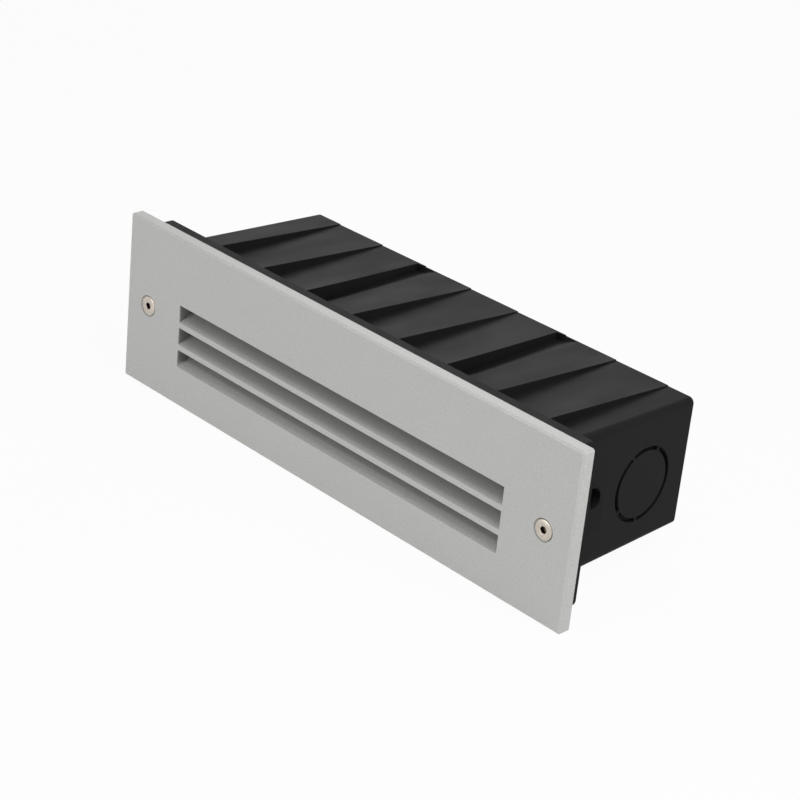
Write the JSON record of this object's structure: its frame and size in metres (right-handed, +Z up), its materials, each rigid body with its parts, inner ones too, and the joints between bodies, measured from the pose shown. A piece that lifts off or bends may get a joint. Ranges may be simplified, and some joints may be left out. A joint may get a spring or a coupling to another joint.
{
  "type": "recessed louvred step light",
  "caption": "Recessed step light with a louvred metal face plate, a sealed lamp unit and a moulded recess housing with cable knock-outs.",
  "frame": {"origin": "centre of the recess, on the face of the wall, where the face plate's raised edge rests", "axes": "+X along the plate, +Y into the wall, +Z up"},
  "size_m": [0.24, 0.0803, 0.0694],
  "materials": {
    "housing_plastic": "moulded, fine spark-eroded grain",
    "insert_brass": "turned and knurled",
    "plate_paint": "fine speckled silver-grey powder coat on cast aluminium",
    "gasket_rubber": "closed-cell foam rubber",
    "seal_silicone": "translucent silicone",
    "diffuser_glass": "frosted tempered glass",
    "casing_aluminium": "as cast",
    "screw_steel": "stainless, turned",
    "reflector_white": "white",
    "board_white": "white solder resist",
    "led_phosphor": "phosphor gel in white packages",
    "pad_grey": "heat-conducting pad",
    "gland_nylon": "black nylon",
    "lead_sheath": "white silicone sheath",
    "driver_plastic": "white",
    "block_nylon": "natural nylon",
    "terminal_brass": "nickel-free brass",
    "supply_wire": "brown insulation",
    "earth_wire": "green and yellow insulation",
    "clamp_nylon": "black nylon",
    "ring_rubber": "nitrile rubber"
  },
  "bodies": {
    "housing": {"recess_housing": "housing_plastic", "insert_nuts": "insert_brass"},
    "lamp_unit": {"face_plate": "plate_paint", "plate_gasket": "gasket_rubber", "diffuser_seal": "seal_silicone", "diffuser": "diffuser_glass", "lamp_casing": "casing_aluminium", "casing_screws": "screw_steel", "reflector": "reflector_white", "led_board": "board_white", "led_chips": "led_phosphor", "board_screws": "screw_steel", "thermal_pad": "pad_grey", "lead_gland": "gland_nylon", "gland_nut": "gland_nylon", "lamp_lead": "lead_sheath", "driver_case": "driver_plastic", "driver_lid": "driver_plastic", "driver_screws": "screw_steel", "terminal_block": "block_nylon", "terminal_screws": "terminal_brass", "block_screws": "screw_steel", "supply_leads": "supply_wire", "earth_screw": "terminal_brass", "earth_washer": "screw_steel", "earth_lead": "earth_wire", "cord_clamp": "clamp_nylon", "clamp_screws": "screw_steel"},
    "ring_left": {"screw_ring_left": "ring_rubber"},
    "screw_left": {"face_screw_left": "screw_steel"},
    "ring_right": {"screw_ring_right": "ring_rubber"},
    "screw_right": {"face_screw_right": "screw_steel"}
  },
  "joints": [
    {"name": "lamp_pull", "type": "slide", "parent": "housing", "child": "lamp_unit", "axis": [0, -1, 0], "range_m": [0, 0.075]},
    {"name": "screw_left_travel", "type": "slide", "parent": "lamp_unit", "child": "ring_left", "axis": [0, -1, 0], "range_m": [0, 0.0147]},
    {"name": "screw_left_turn", "type": "hinge", "parent": "ring_left", "child": "screw_left", "pos_m": [-0.107, 0, 0], "axis": [0, -1, 0], "range_deg": [0, 7570]},
    {"name": "screw_right_travel", "type": "slide", "parent": "lamp_unit", "child": "ring_right", "axis": [0, -1, 0], "range_m": [0, 0.0147]},
    {"name": "screw_right_turn", "type": "hinge", "parent": "ring_right", "child": "screw_right", "pos_m": [0.107, 0, 0], "axis": [0, -1, 0], "range_deg": [0, 7570]}
  ],
  "couplings": [
    {"joint": "screw_left_turn", "follows": "screw_left_travel", "rad_per_m": 8976},
    {"joint": "screw_right_turn", "follows": "screw_right_travel", "rad_per_m": 8976}
  ]
}
